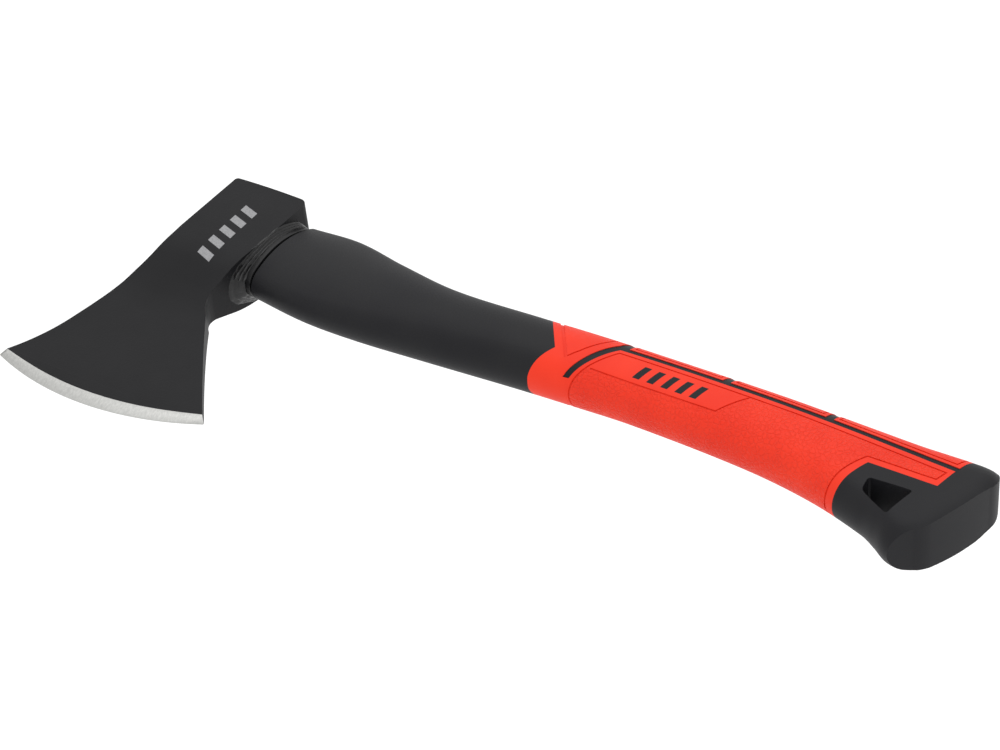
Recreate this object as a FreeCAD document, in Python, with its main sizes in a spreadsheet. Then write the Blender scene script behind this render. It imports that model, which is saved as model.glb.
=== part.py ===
import FreeCAD, Part
import math
import os
import re

import Sketcher
from FreeCAD import Vector

# A general-purpose hatchet lying on its side.
# +X runs along the handle from head to butt, +Y points from the cutting edge to the poll, +Z is up.
# Every piece is drawn about the centre of the eye, with the blade in the XY plane, and the whole
# assembly is then moved so that the origin lies under the middle of its box, on the rest plane.

PARTS_FOLDER = "parts"
THROUGH = 60.0  # length of a prism that runs past both cheeks of the tool

# ---------------------------------------------------------------- driving dimensions, millimetres

HEAD = {
    "cheek_half": 12.8,        # half the thickness of the head over the eye
    "poll_x": 18.0, "poll_y": 28.0,
    "seat_x": 18.0, "seat_y": -8.0,
    "throat_x": 14.5, "throat_y": -34.0, "throat_arc": 95.0,
    "heel_x": 56.3, "heel_y": -95.0,
    "toe_x": -44.3, "toe_y": -99.7, "edge_arc": 131.0,
    "beard_x": -27.8, "beard_y": -67.0, "beard_arc": 92.0,
    "brow_x": -19.8, "brow_y": -20.0, "brow_arc": 190.0,
    "eye_far": 19.0, "eye_near": -15.5, "eye_half": 8.2, "eye_round": 6.0,
    "wedge_top_y": -12.0,      # where the flat cheek turns into the wedge
    "wedge_knee_y": -29.0, "wedge_knee_z": 8.8, "wedge_knee_arc": 42.0,
    "wedge_foot_y": -104.0, "wedge_foot_z": 1.75, "wedge_arc": 420.0,
    "wedge_clear": 12.0,       # how far the wedge cutter runs past the edge and the cheeks
    "bevel_width": 5.2, "bevel_half": 2.1, "edge_half": 0.12,
    "throat_fillet": 5.0,
    "poll_corner": 2.5,
    "rim_chamfer": 0.9,
}
CORE = {
    "core_far": 12.0, "core_near": -8.6, "core_half": 5.4, "core_round": 4.2,
    "core_start": -17.4, "core_end": 294.0,
}
SEAT = {
    "resin_recess": 0.8,       # the cast fill stops just under the top of the eye
    "bead_far": 20.6, "bead_near": -18.0, "bead_half": 10.2, "bead_round": 7.0, "bead_end": 21.0,
    "collar_far": 21.8, "collar_near": -18.6, "collar_half": 10.6, "collar_round": 7.2,
    "collar_end": 25.6,
}
BUTT = {
    "butt_top_x": 326.0, "butt_top_y": 20.5, "butt_top_arc": 20.0,
    "butt_far_x": 344.9, "butt_far_y": 5.0, "butt_dome": 110.0,
    "butt_near_x": 332.2, "butt_near_y": -28.5, "butt_near_arc": 10.5,
    "butt_low_x": 322.0, "butt_low_y": -40.5,
    "butt_edge": 1.2,
    "waste_x": 380.0, "waste_y": 60.0,
}
GRIP = {
    "grip_wall": 2.2,
    "cap_far_x": 138.0, "cap_far_y": 30.0,
    "cap_step_x": 162.2, "cap_step_y": -4.7,
    "cap_near_x": 155.8, "cap_near_y": -16.0, "cap_arc": 60.0,
    "slot_tip_y": -13.3, "slot_tip_rear_x": 173.2, "slot_tip_front_x": 170.4,
    "slot_bend_rear_x": 186.0, "slot_bend_rear_y": 5.2, "slot_rear_arc": 200.0,
    "slot_bend_front_x": 183.9, "slot_bend_front_y": 8.4, "slot_front_arc": 200.0,
    "slot_end_x": 328.6, "slot_end_y": 2.4, "slot_arc": 1280.0,
    "slot_width": 2.5,
    "tail_corner_x": 326.4, "tail_corner_y": -8.0,
    "tail_bend_x": 298.8, "tail_bend_y": -8.1,
    "tail_near_x": 292.0, "tail_near_y": -23.6, "tail_arc": 90.0,
    "skirt_y": -45.0,
    "pad_start_x": 188.6, "pad_pitch": 44.1, "pad_gap": 3.5, "pad_end_x": 329.2, "pad_slant": 2.4,
}
LABEL = {
    "bar_first_x": 197.5, "bar_pitch": 6.2, "bar_width": 3.0,
    "bar_low_y": -5.9, "bar_high_y": 0.6, "bar_slant": 2.4,
}
LANYARD = {
    "hole_head_x": 302.2, "hole_top_y": -14.4, "hole_butt_x": 319.9,
    "hole_tip_x": 315.6, "hole_tip_y": -27.4, "hole_low_y": -20.4, "hole_fillet": 1.3,
}
SECTION_FIELDS = ("x", "far", "near", "half", "round")
HANDLE_SECTIONS = (
    (25.6, 23.2, -19.9, 11.0, 7.8),
    (50.0, 24.0, -23.2, 11.4, 8.3),
    (75.0, 19.1, -22.9, 12.0, 9.5),
    (105.0, 14.6, -20.5, 12.3, 10.7),
    (147.0, 15.5, -17.0, 12.6, 11.7),
    (200.0, 17.1, -14.5, 12.7, 12.0),
    (250.0, 17.6, -16.3, 12.7, 12.0),
    (280.0, 17.0, -20.6, 12.7, 11.9),
    (305.0, 16.4, -27.9, 12.6, 11.6),
    (322.0, 16.8, -36.8, 12.7, 11.4),
    (333.0, 17.0, -38.0, 12.8, 11.4),
    (352.0, 17.0, -38.0, 12.8, 11.4),
)
LABEL_BARS = 5
PAD_NAMES = ("spine_pad_front", "spine_pad_middle", "spine_pad_rear")

doc = FreeCAD.newDocument("hatchet")
sheet = doc.addObject("Spreadsheet::Sheet", "sheet")


def section_alias(index, field):
    return "section{}_{}".format(index + 1, field)


def fill_sheet():
    values = {"origin_x": 0.0, "origin_y": 0.0, "origin_z": 0.0}
    for group in (HEAD, CORE, SEAT, BUTT, GRIP, LABEL, LANYARD):
        values.update(group)
    for index, numbers in enumerate(HANDLE_SECTIONS):
        for field, number in zip(SECTION_FIELDS, numbers):
            values[section_alias(index, field)] = number
    for row, (alias, number) in enumerate(values.items(), start=1):
        sheet.set("A{}".format(row), alias)
        sheet.set("B{}".format(row), str(number))
        sheet.setAlias("B{}".format(row), alias)
    doc.recompute()


def cell(expression):
    """The value of an expression over the sheet's aliases, such as "poll_x + 2"."""
    return float(sheet.evalExpression(str(expression)))


def linked(expression):
    """The expression as another object must write it, with sheet. before every alias."""
    return re.sub(r"\b([a-z]\w*)\b(?!\()", r"sheet.\1", str(expression))


# ---------------------------------------------------------------- bodies and sketches

def new_body(label):
    body = doc.addObject("PartDesign::Body", label)
    body.Label = label
    for axis in "xyz":
        body.setExpression("Placement.Base." + axis, linked("origin_" + axis))
    return body


def new_sketch(body, name, role, offsets=("0", "0", "0")):
    """A sketch on one of the body's origin planes; offsets are along its own x, y and normal."""
    sketch = body.newObject("Sketcher::SketchObject", name)
    plane = [item for item in body.Origin.OriginFeatures if item.Role == role][0]
    sketch.AttachmentSupport = [(plane, "")]
    sketch.MapMode = "FlatFace"
    for axis, offset in zip("xyz", offsets):
        sketch.setExpression("AttachmentOffset.Base." + axis, linked(offset))
    return sketch


def constrain(sketch, kind, *parts):
    """Adds a constraint whose last part is an expression, and binds it to the sheet."""
    index = sketch.addConstraint(Sketcher.Constraint(kind, *parts[:-1], cell(parts[-1])))
    sketch.setExpression("Constraints[{}]".format(index), linked(parts[-1]))


def draw_oval(sketch, far, near, half, corner):
    """A flattened oval of four tangent arcs: two crowned cheeks and two round ends."""
    reach = "(({}) - ({})) / 2 - ({})".format(far, near, corner)
    rise = "(({}) - ({}))".format(half, corner)
    drop = "((({0}) ^ 2 - {1} ^ 2) / (2 * {1}))".format(reach, rise)
    cheek = "{} + ({})".format(drop, half)
    middle = (cell(far) + cell(near)) / 2
    turn = math.atan2(cell(drop), cell(reach))
    centres = (
        Vector(cell(far) - cell(corner), 0, 0),
        Vector(middle, -cell(drop), 0),
        Vector(cell(near) + cell(corner), 0, 0),
        Vector(middle, cell(drop), 0),
    )
    radii = (cell(corner), cell(cheek), cell(corner), cell(cheek))
    turns = (-turn, turn, math.pi - turn, math.pi + turn, 2 * math.pi - turn)
    arcs = []
    for number in range(4):
        circle = Part.Circle(centres[number], Vector(0, 0, 1), radii[number])
        arc = Part.ArcOfCircle(circle, turns[number], turns[number + 1])
        arcs.append(sketch.addGeometry(arc))
    for number in range(4):
        following = arcs[(number + 1) % 4]
        sketch.addConstraint(Sketcher.Constraint("Tangent", arcs[number], 2, following, 1))
    for end in (arcs[0], arcs[2]):
        sketch.addConstraint(Sketcher.Constraint("PointOnObject", end, 3, -1))
        constrain(sketch, "Radius", end, corner)
    for crown in (arcs[1], arcs[3]):
        constrain(sketch, "Radius", crown, cheek)
    constrain(sketch, "DistanceX", arcs[0], 3, "({}) - ({})".format(far, corner))
    constrain(sketch, "DistanceX", arcs[2], 3, "({}) + ({})".format(near, corner))


def draw_outline(sketch, corners):
    """A closed outline. A corner is (x, y) before a straight side, or (x, y, radius, "left") or
    (x, y, radius, "right") before an arc whose centre lies on that side of the way along it."""
    count = len(corners)
    points = [Vector(cell(corner[0]), cell(corner[1]), 0) for corner in corners]
    sides = []
    for number, corner in enumerate(corners):
        start = points[number]
        end = points[(number + 1) % count]
        if len(corner) == 2:
            sides.append((sketch.addGeometry(Part.LineSegment(start, end)), 1, 2))
            continue
        half_chord = (end - start).Length / 2
        radius = cell(corner[2])
        sagitta = radius - math.sqrt(radius ** 2 - half_chord ** 2)
        along = (end - start).normalize()
        bulge = Vector(along.y, -along.x, 0) if corner[3] == "left" else Vector(-along.y, along.x, 0)
        side = sketch.addGeometry(Part.Arc(start, (start + end) / 2 + bulge * sagitta, end))
        sides.append((side, 1, 2) if corner[3] == "left" else (side, 2, 1))
        constrain(sketch, "Radius", side, corner[2])
    for number, corner in enumerate(corners):
        side, start, end = sides[number]
        following, following_start, _ = sides[(number + 1) % count]
        sketch.addConstraint(Sketcher.Constraint("Coincident", side, end, following, following_start))
        constrain(sketch, "DistanceX", side, start, corner[0])
        constrain(sketch, "DistanceY", side, start, corner[1])


def pad(body, sketch, length, symmetric=False):
    feature = body.newObject("PartDesign::Pad", sketch.Name + "_pad")
    feature.Profile = sketch
    feature.Type = "Length"
    feature.setExpression("Length", linked(length))
    feature.SideType = "Symmetric" if symmetric else "One side"
    doc.recompute()
    return feature


def pocket_through(body, sketch):
    """Cuts the sketch through the whole body, both ways, and checks that it removed something."""
    before = body.Shape.Volume
    feature = body.newObject("PartDesign::Pocket", sketch.Name + "_pocket")
    feature.Profile = sketch
    feature.Type = "ThroughAll"
    feature.SideType = "Symmetric"
    doc.recompute()
    if body.Shape.Volume > before - 1.0:
        raise RuntimeError(sketch.Name + " cuts nothing")
    return feature


def prism(label, corners):
    """A tool body: an outline in the blade's plane, run past both cheeks."""
    body = new_body(label)
    sketch = new_sketch(body, label + "_outline", "XY_Plane")
    draw_outline(sketch, corners)
    pad(body, sketch, THROUGH, symmetric=True)
    return body


def ring_block(label, start, end, far, near, half, corner):
    """A body with an oval section, drawn along the handle from start to end."""
    body = new_body(label)
    sketch = new_sketch(body, label + "_section", "YZ_Plane", ("0", "0", start))
    draw_oval(sketch, far, near, half, corner)
    pad(body, sketch, "({}) - ({})".format(end, start))
    return body


def cut(label, base, tool):
    result = doc.addObject("Part::Cut", label)
    result.Label = label
    result.Base = base
    result.Tool = tool
    doc.recompute()
    return result


def common(label, shapes):
    result = doc.addObject("Part::MultiCommon", label)
    result.Label = label
    result.Shapes = shapes
    doc.recompute()
    return result


def together(label, links):
    result = doc.addObject("Part::Compound", label)
    result.Links = links
    doc.recompute()
    return result


# ---------------------------------------------------------------- the forged head

def edges_where(shape, test):
    names = []
    for number, edge in enumerate(shape.Edges, start=1):
        if test(edge):
            names.append("Edge{}".format(number))
    return names


def is_upright(edge, x, y):
    """Whether the edge stands along Z at (x, y) of the blade's plane."""
    tolerance = 0.05
    if len(edge.Vertexes) != 2:
        return False
    ends = [vertex.Point for vertex in edge.Vertexes]
    return all(math.hypot(end.x - x, end.y - y) < tolerance for end in ends)


def head_blank(body):
    sketch = new_sketch(body, "head_plan", "XY_Plane")
    draw_outline(sketch, [
        ("-poll_x", "poll_y"),
        ("brow_x", "brow_y", "brow_arc", "right"),
        ("beard_x", "beard_y", "beard_arc", "right"),
        ("toe_x", "toe_y", "edge_arc", "left"),
        ("heel_x", "heel_y"),
        ("throat_x", "throat_y", "throat_arc", "right"),
        ("seat_x", "seat_y"),
        ("poll_x", "poll_y"),
    ])
    return pad(body, sketch, "2 * cheek_half", symmetric=True)


def head_wedge(body):
    """The cheeks fall away from the eye to the edge; the upper cut is mirrored below."""
    sketch = new_sketch(body, "cheek_profile", "YZ_Plane")
    draw_outline(sketch, [
        ("wedge_top_y", "cheek_half", "wedge_knee_arc", "left"),
        ("wedge_knee_y", "wedge_knee_z", "wedge_arc", "right"),
        ("wedge_foot_y", "wedge_foot_z"),
        ("wedge_foot_y - wedge_clear", "wedge_foot_z"),
        ("wedge_foot_y - wedge_clear", "cheek_half + wedge_clear"),
        ("wedge_top_y", "cheek_half + wedge_clear"),
    ])
    upper = pocket_through(body, sketch)
    before = body.Shape.Volume
    lower = body.newObject("PartDesign::Mirrored", "lower_cheek")
    lower.Originals = [upper]
    plane = [item for item in body.Origin.OriginFeatures if item.Role == "XY_Plane"][0]
    lower.MirrorPlane = (plane, [""])
    body.Tip = lower
    doc.recompute()
    if body.Shape.Volume > before - 1.0:
        raise RuntimeError("the lower cheek was not cut")


def edge_centre():
    """Expressions for the centre of the cutting edge's arc, in the blade's plane."""
    span_x = "(heel_x - toe_x)"
    span_y = "(heel_y - toe_y)"
    chord = "sqrt({} ^ 2 + {} ^ 2)".format(span_x, span_y)
    reach = "sqrt(edge_arc ^ 2 - {} ^ 2 / 4)".format(chord)
    centre_x = "(heel_x + toe_x) / 2 - {} * {} / {}".format(span_y, reach, chord)
    centre_y = "(heel_y + toe_y) / 2 + {} * {} / {}".format(span_x, reach, chord)
    return centre_x, centre_y


def head_bevel(body):
    """The ground bevel: a cone about the centre of the edge's arc, on both cheeks."""
    centre_x, centre_y = edge_centre()
    slope = "((bevel_half - edge_half) / bevel_width)"
    reach = "(4 * bevel_width)"
    for side in (1, -1):
        sketch = new_sketch(body, "bevel_upper" if side > 0 else "bevel_lower", "YZ_Plane",
                            (centre_y, "0", centre_x))
        draw_outline(sketch, [
            ("-edge_arc - 2", "{} * edge_half".format(side)),
            ("-edge_arc", "{} * edge_half".format(side)),
            ("-edge_arc + {}".format(reach), "{} * (edge_half + {} * {})".format(side, slope, reach)),
            ("-edge_arc + {}".format(reach), "{} * cheek_half".format(side)),
            ("-edge_arc - 2", "{} * cheek_half".format(side)),
        ])
        before = body.Shape.Volume
        groove = body.newObject("PartDesign::Groove", sketch.Name + "_groove")
        groove.Profile = sketch
        groove.ReferenceAxis = (sketch, ["V_Axis"])
        groove.Angle = 360.0
        doc.recompute()
        if body.Shape.Volume > before - 1.0:
            raise RuntimeError(sketch.Name + " grinds nothing")


def make_head():
    body = new_body("axe_head")
    head_blank(body)
    head_wedge(body)
    head_bevel(body)
    eye = new_sketch(body, "eye_section", "YZ_Plane")
    draw_oval(eye, "eye_far", "eye_near", "eye_half", "eye_round")
    pocket_through(body, eye)
    corners = [(cell("poll_x"), cell("poll_y")), (-cell("poll_x"), cell("poll_y"))]
    names = []
    for x, y in corners:
        names += edges_where(body.Shape, lambda edge: is_upright(edge, x, y))
    round_edges(body, "poll_corners", names, "poll_corner")
    names = edges_where(body.Shape, lambda edge: is_upright(edge, cell("throat_x"), cell("throat_y")))
    round_edges(body, "throat_round", names, "throat_fillet")
    chamfer_poll_rim(body)
    return body


def round_edges(body, name, edges, radius):
    base = body.Tip
    feature = body.newObject("PartDesign::Fillet", name)
    feature.Base = (base, edges)
    feature.setExpression("Radius", linked(radius))
    doc.recompute()


def chamfer_poll_rim(body):
    """A small chamfer round the striking face."""
    poll_y = cell("poll_y")
    tolerance = 0.01

    def on_poll(edge):
        box = edge.BoundBox
        return box.YMin > poll_y - tolerance

    base = body.Tip
    feature = body.newObject("PartDesign::Chamfer", "poll_rim")
    feature.Base = (base, edges_where(base.Shape, on_poll))
    feature.setExpression("Size", linked("rim_chamfer"))
    doc.recompute()


# ---------------------------------------------------------------- the handle's outer form

def handle_loft(label, wall):
    """The handle's skin, or the same form a wall's thickness further in."""
    body = new_body(label)
    sketches = []
    for index in range(len(HANDLE_SECTIONS)):
        alias = {field: section_alias(index, field) for field in SECTION_FIELDS}
        sketch = new_sketch(body, "{}_section{}".format(label, index + 1), "YZ_Plane",
                            ("0", "0", alias["x"]))
        draw_oval(
            sketch,
            "{} - {}".format(alias["far"], wall),
            "{} + {}".format(alias["near"], wall),
            "{} - {}".format(alias["half"], wall),
            "{} - {}".format(alias["round"], wall),
        )
        sketches.append(sketch)
    loft = body.newObject("PartDesign::AdditiveLoft", label + "_loft")
    loft.Profile = sketches[0]
    loft.Sections = sketches[1:]
    loft.Ruled = False
    doc.recompute()
    return body


def trim_butt(body):
    """Cuts the loft to the slanted, slightly domed end with its two rounded corners."""
    sketch = new_sketch(body, "butt_trim", "XY_Plane")
    draw_outline(sketch, [
        ("butt_top_x", "butt_top_y", "butt_top_arc", "right"),
        ("butt_far_x", "butt_far_y", "butt_dome", "right"),
        ("butt_near_x", "butt_near_y", "butt_near_arc", "right"),
        ("butt_low_x", "butt_low_y"),
        ("butt_low_x", "-waste_y"),
        ("waste_x", "-waste_y"),
        ("waste_x", "waste_y"),
        ("butt_top_x", "waste_y"),
    ])
    pocket_through(body, sketch)


# ---------------------------------------------------------------- the moulded grip

def pad_x(number, end):
    """Where a spine pad starts or ends, as an expression. The three pads share one pitch."""
    if end and number == len(PAD_NAMES) - 1:
        return "pad_end_x"
    if end:
        return "pad_start_x + {} * pad_pitch - pad_gap".format(number + 1)
    return "pad_start_x + {} * pad_pitch".format(number)


def slot_edge_y(x, lift):
    """Height of the long slot's arc at x, lifted by part of the slot's width."""
    span_x = "(slot_end_x - slot_bend_rear_x)"
    chord_y = "(slot_bend_rear_y + (slot_end_y - slot_bend_rear_y) * (({}) - slot_bend_rear_x) / {})"
    crown = "((({0}) - slot_bend_rear_x) * (slot_end_x - ({0})) / (2 * slot_arc))"
    return "{} + {} + {}".format(chord_y.format(x, span_x), crown.format(x), lift)


def spine_pad_zone(number):
    start = pad_x(number, end=False)
    end = pad_x(number, end=True)
    return prism(PAD_NAMES[number] + "_zone", [
        (start, slot_edge_y(start, "slot_width"), "slot_arc", "right"),
        (end, slot_edge_y(end, "slot_width")),
        ("{} + pad_slant".format(end) if number < len(PAD_NAMES) - 1 else "butt_top_x + 4", "cap_far_y"),
        ("{} + pad_slant".format(start), "cap_far_y"),
    ])


def sleeve_zone():
    """The front cap and the palm area, with the curved slot let into them as one notch."""
    return prism("sleeve_zone", [
        ("cap_far_x", "cap_far_y"),
        ("cap_step_x", "cap_step_y", "cap_arc", "left"),
        ("cap_near_x", "cap_near_y"),
        ("cap_near_x", "skirt_y"),
        ("tail_near_x", "skirt_y"),
        ("tail_near_x", "tail_near_y", "tail_arc", "right"),
        ("tail_bend_x", "tail_bend_y"),
        ("tail_corner_x", "tail_corner_y"),
        ("slot_end_x", "slot_end_y", "slot_arc", "left"),
        ("slot_bend_rear_x", "slot_bend_rear_y", "slot_rear_arc", "left"),
        ("slot_tip_rear_x", "slot_tip_y"),
        ("slot_tip_front_x", "slot_tip_y", "slot_front_arc", "right"),
        ("slot_bend_front_x", "slot_bend_front_y"),
        ("slot_bend_front_x + pad_slant", "cap_far_y"),
    ])


def label_bar(number):
    """One slanted bar of the jacket's plastic that shows through the palm area."""
    left = "bar_first_x + {} * bar_pitch".format(number)
    return prism("label_bar_{}".format(number + 1), [
        (left, "bar_low_y"),
        ("{} + bar_width".format(left), "bar_low_y"),
        ("{} + bar_width + bar_slant".format(left), "bar_high_y"),
        ("{} + bar_slant".format(left), "bar_high_y"),
    ])


def lanyard_prism():
    body = prism("lanyard_prism", [
        ("hole_head_x", "hole_top_y"),
        ("hole_head_x", "hole_low_y"),
        ("hole_tip_x", "hole_tip_y"),
        ("hole_butt_x", "hole_top_y"),
    ])
    upright = edges_where(body.Shape, lambda edge: edge.BoundBox.ZLength > THROUGH - 1.0)
    round_edges(body, "lanyard_corners", upright, "hole_fillet")
    return body


def make_handle(core):
    """The jacket, the grip sleeve and the three spine pads, as separate solids."""
    form = handle_loft("handle_form", "0")
    trim_butt(form)
    inner = handle_loft("handle_inner", "grip_wall")
    skin = cut("handle_skin", form, inner)
    sleeve_blank = common("sleeve_blank", [skin, sleeve_zone()])
    bars = together("label_bars", [label_bar(number) for number in range(LABEL_BARS)])
    sleeve = cut("grip_sleeve", sleeve_blank, bars)
    pads = []
    for number, name in enumerate(PAD_NAMES):
        pads.append(common(name, [skin, spine_pad_zone(number)]))
    taken = together("moulded_over", [sleeve] + pads)
    bored = cut("jacket_bored", form, core)
    holed = cut("jacket_holed", bored, lanyard_prism())
    jacket = cut("handle_jacket", holed, taken)
    return [jacket, sleeve] + pads


# ---------------------------------------------------------------- what joins head and handle

def make_core():
    return ring_block("core_rod", "core_start", "core_end",
                      "core_far", "core_near", "core_half", "core_round")


def make_joint_pieces(core):
    fill = ring_block("eye_fill", "-poll_x + resin_recess", "poll_x",
                      "eye_far", "eye_near", "eye_half", "eye_round")
    bead = ring_block("bead_blank", "poll_x", "bead_end",
                      "bead_far", "bead_near", "bead_half", "bead_round")
    collar = ring_block("collar_blank", "bead_end", "collar_end",
                        "collar_far", "collar_near", "collar_half", "collar_round")
    return [
        cut("eye_resin", fill, core),
        cut("resin_bead", bead, core),
        cut("sealing_collar", collar, core),
    ]


# ---------------------------------------------------------------- frame, checks and files

def whole_box(pieces):
    box = FreeCAD.BoundBox()
    for piece in pieces:
        box.add(piece.Shape.optimalBoundingBox())
    return box


def put_origin_under_the_middle(pieces):
    box = whole_box(pieces)
    for axis, value in (("x", -box.Center.x), ("y", -box.Center.y), ("z", -box.ZMin)):
        address = sheet.getCellFromAlias("origin_" + axis)
        sheet.set(address, str(round(value, 4)))
    doc.recompute()


def check_document(pieces):
    for item in doc.Objects:
        if "Invalid" in item.State or "Error" in item.State:
            raise RuntimeError("{} failed: {}".format(item.Label, item.State))
    for piece in pieces:
        shape = piece.Shape
        if shape.isNull() or not shape.isValid():
            raise RuntimeError(piece.Label + " is not a valid solid")
        box = shape.optimalBoundingBox()
        print("{:18s} solids {} volume {:10.1f}  x {:7.1f} {:7.1f}  y {:6.1f} {:6.1f}  z {:5.1f} {:5.1f}"
              .format(piece.Label, len(shape.Solids), shape.Volume, box.XMin, box.XMax,
                      box.YMin, box.YMax, box.ZMin, box.ZMax))


def write_parts(pieces):
    os.makedirs(PARTS_FOLDER, exist_ok=True)
    for piece in pieces:
        piece.Shape.exportStep(os.path.join(PARTS_FOLDER, piece.Label + ".step"))


fill_sheet()
core_rod = make_core()
sub_parts = [make_head(), core_rod] + make_joint_pieces(core_rod) + make_handle(core_rod)
put_origin_under_the_middle(sub_parts)
check_document(sub_parts)
write_parts(sub_parts)
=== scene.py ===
# %% [markdown]
# # A one-hand hatchet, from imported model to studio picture
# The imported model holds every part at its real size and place. This lesson builds the parts that
# show, one after another, round that frame. Everything is drawn in millimetres about the centre
# of the eye, the hole in the head that the handle goes through, and moved into place at the end.

# %% Load the frame
import math
import bmesh
import bpy
from mathutils import Matrix, Vector, noise


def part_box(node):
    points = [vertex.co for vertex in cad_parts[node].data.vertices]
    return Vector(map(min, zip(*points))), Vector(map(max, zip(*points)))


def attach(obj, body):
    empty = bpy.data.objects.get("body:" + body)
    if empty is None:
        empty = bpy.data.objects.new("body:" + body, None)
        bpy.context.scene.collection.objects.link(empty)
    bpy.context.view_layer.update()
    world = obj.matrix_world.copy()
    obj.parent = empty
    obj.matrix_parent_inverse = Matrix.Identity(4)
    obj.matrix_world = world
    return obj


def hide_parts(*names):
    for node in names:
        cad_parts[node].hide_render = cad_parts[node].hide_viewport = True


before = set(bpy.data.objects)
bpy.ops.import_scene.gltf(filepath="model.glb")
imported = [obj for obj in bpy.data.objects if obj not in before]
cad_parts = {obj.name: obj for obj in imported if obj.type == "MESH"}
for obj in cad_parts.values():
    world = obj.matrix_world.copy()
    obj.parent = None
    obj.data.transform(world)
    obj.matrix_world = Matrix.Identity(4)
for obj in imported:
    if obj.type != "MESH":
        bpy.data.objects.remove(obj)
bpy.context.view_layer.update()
MM = 0.001
POLL_Y = 28.0    # from the centre of the eye to the striking face
TOE_X = -44.3    # from the centre of the eye to the front corner of the edge
head_low, head_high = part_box("axe_head")
EYE = Vector((head_low.x - TOE_X * MM, head_high.y - POLL_Y * MM, (head_low.z + head_high.z) / 2))
HALF_HEAD = (head_high.z - head_low.z) / 2 / MM
print("eye centre in the frame, m:", tuple(round(v, 4) for v in EYE), "half thickness, mm:", HALF_HEAD)

# %% [markdown]
# ## The camera
# The camera comes first, so that every piece can be judged from the view that matters. It stands
# above the side of the handle, turned a little about its own axis, and uses a long lens, which
# keeps the near end of the handle from swelling. The small shift only frames the tool.

# %% Camera
CAMERA_AZIMUTH = 35.5
CAMERA_ELEVATION = 40.2
CAMERA_ROLL = -5.4
CAMERA_DISTANCE = 1030.2                 # mm, from the aim point
CAMERA_AIM = Vector((152.9, -1.5, 0.0))  # mm about the eye: a point inside the handle
CAMERA_LENS = 94.2                       # mm
CAMERA_SHIFT_X, CAMERA_SHIFT_Y = -0.0414, -0.0160
NEAREST = 0.05                           # m from the camera that still shows


def in_frame(point):
    """A point in millimetres about the eye, as metres in the frame."""
    return EYE + Vector(point) * MM


def camera_axes(azimuth, elevation, roll):
    """The camera's own right, up and back, from the three angles in degrees."""
    a, e, r = (math.radians(angle) for angle in (azimuth, elevation, roll))
    right = Vector((math.cos(a), math.sin(a), 0.0))
    back = Vector((math.sin(a) * math.cos(e), -math.cos(a) * math.cos(e), math.sin(e)))
    up = back.cross(right)
    return math.cos(r) * right + math.sin(r) * up, math.cos(r) * up - math.sin(r) * right, back


right, up, back = camera_axes(CAMERA_AZIMUTH, CAMERA_ELEVATION, CAMERA_ROLL)
camera_data = bpy.data.cameras.new("studio_camera")
camera_data.lens = CAMERA_LENS
camera_data.shift_x = CAMERA_SHIFT_X
camera_data.shift_y = CAMERA_SHIFT_Y
camera_data.clip_start = NEAREST
camera = bpy.data.objects.new("studio_camera", camera_data)
camera.matrix_world = Matrix.Translation(in_frame(CAMERA_AIM + back * CAMERA_DISTANCE)) @ Matrix(
    (right, up, back)).transposed().to_4x4()
bpy.context.scene.collection.objects.link(camera)
bpy.context.scene.camera = camera
print("camera at, m:", tuple(round(v, 3) for v in camera.location))

# %% [markdown]
# ## Helpers for meshes
# A bmesh is Blender's editable mesh in memory. Each piece is shaped in one with its faces pointing
# outwards, `to_object` then scales it from millimetres to metres and moves it to the eye, and
# `finish_piece` ties it to the tool's one body. Tools for cutting are made the same way and removed after
# use.

# %% Mesh helpers
def to_object(bm, name):
    """Writes a bmesh in millimetres about the eye to a new object in the frame."""
    bmesh.ops.scale(bm, vec=(MM, MM, MM), verts=bm.verts)
    bmesh.ops.translate(bm, vec=EYE, verts=bm.verts)
    mesh = bpy.data.meshes.new(name)
    bm.to_mesh(mesh)
    bm.free()
    obj = bpy.data.objects.new(name, mesh)
    bpy.context.scene.collection.objects.link(obj)
    return obj


def remove(*objects):
    """Deletes objects and their meshes."""
    for obj in objects:
        mesh = obj.data
        bpy.data.objects.remove(obj)
        bpy.data.meshes.remove(mesh)


def bake_modifiers(obj):
    """Replaces the object's mesh by what its modifiers make of it."""
    depsgraph = bpy.context.evaluated_depsgraph_get()
    mesh = bpy.data.meshes.new_from_object(obj.evaluated_get(depsgraph))
    old = obj.data
    obj.modifiers.clear()
    obj.data = mesh
    mesh.name = obj.name
    bpy.data.meshes.remove(old)
    return obj


def boolean(obj, operation, *tools, keep=False):
    """Cuts, joins or intersects obj with each tool in turn, then removes the tools."""
    for tool in tools:
        modifier = obj.modifiers.new("boolean", "BOOLEAN")
        modifier.operation = operation
        modifier.solver = "EXACT"
        modifier.object = tool
        bake_modifiers(obj)
    if not keep:
        remove(*tools)
    return obj


def even_shading(obj):
    """Weighs the shading by area, so that large faces stay even beside small ones."""
    even = obj.modifiers.new("even_shading", "WEIGHTED_NORMAL")
    even.mode = "FACE_AREA"
    even.weight = 100
    even.keep_sharp = True
    return bake_modifiers(obj)


def finish_piece(obj, material, nodes=(), smooth_angle=30.0):
    """Smooth shading up to an angle, a material, a parent on the tool's one body, and the imported solids
    that it stands for hidden.
    """
    if smooth_angle is not None:
        obj.data.shade_smooth()
        obj.data.set_sharp_from_angle(angle=math.radians(smooth_angle))
        even_shading(obj)
    if material is not None:
        obj.data.materials.clear()
        obj.data.materials.append(material)
    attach(obj, "root")
    if nodes:
        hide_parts(*nodes)
    triangles = sum(len(face.vertices) - 2 for face in obj.data.polygons)
    print(f"{obj.name}: {len(obj.data.polygons)} faces, {triangles} triangles")
    return obj


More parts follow.
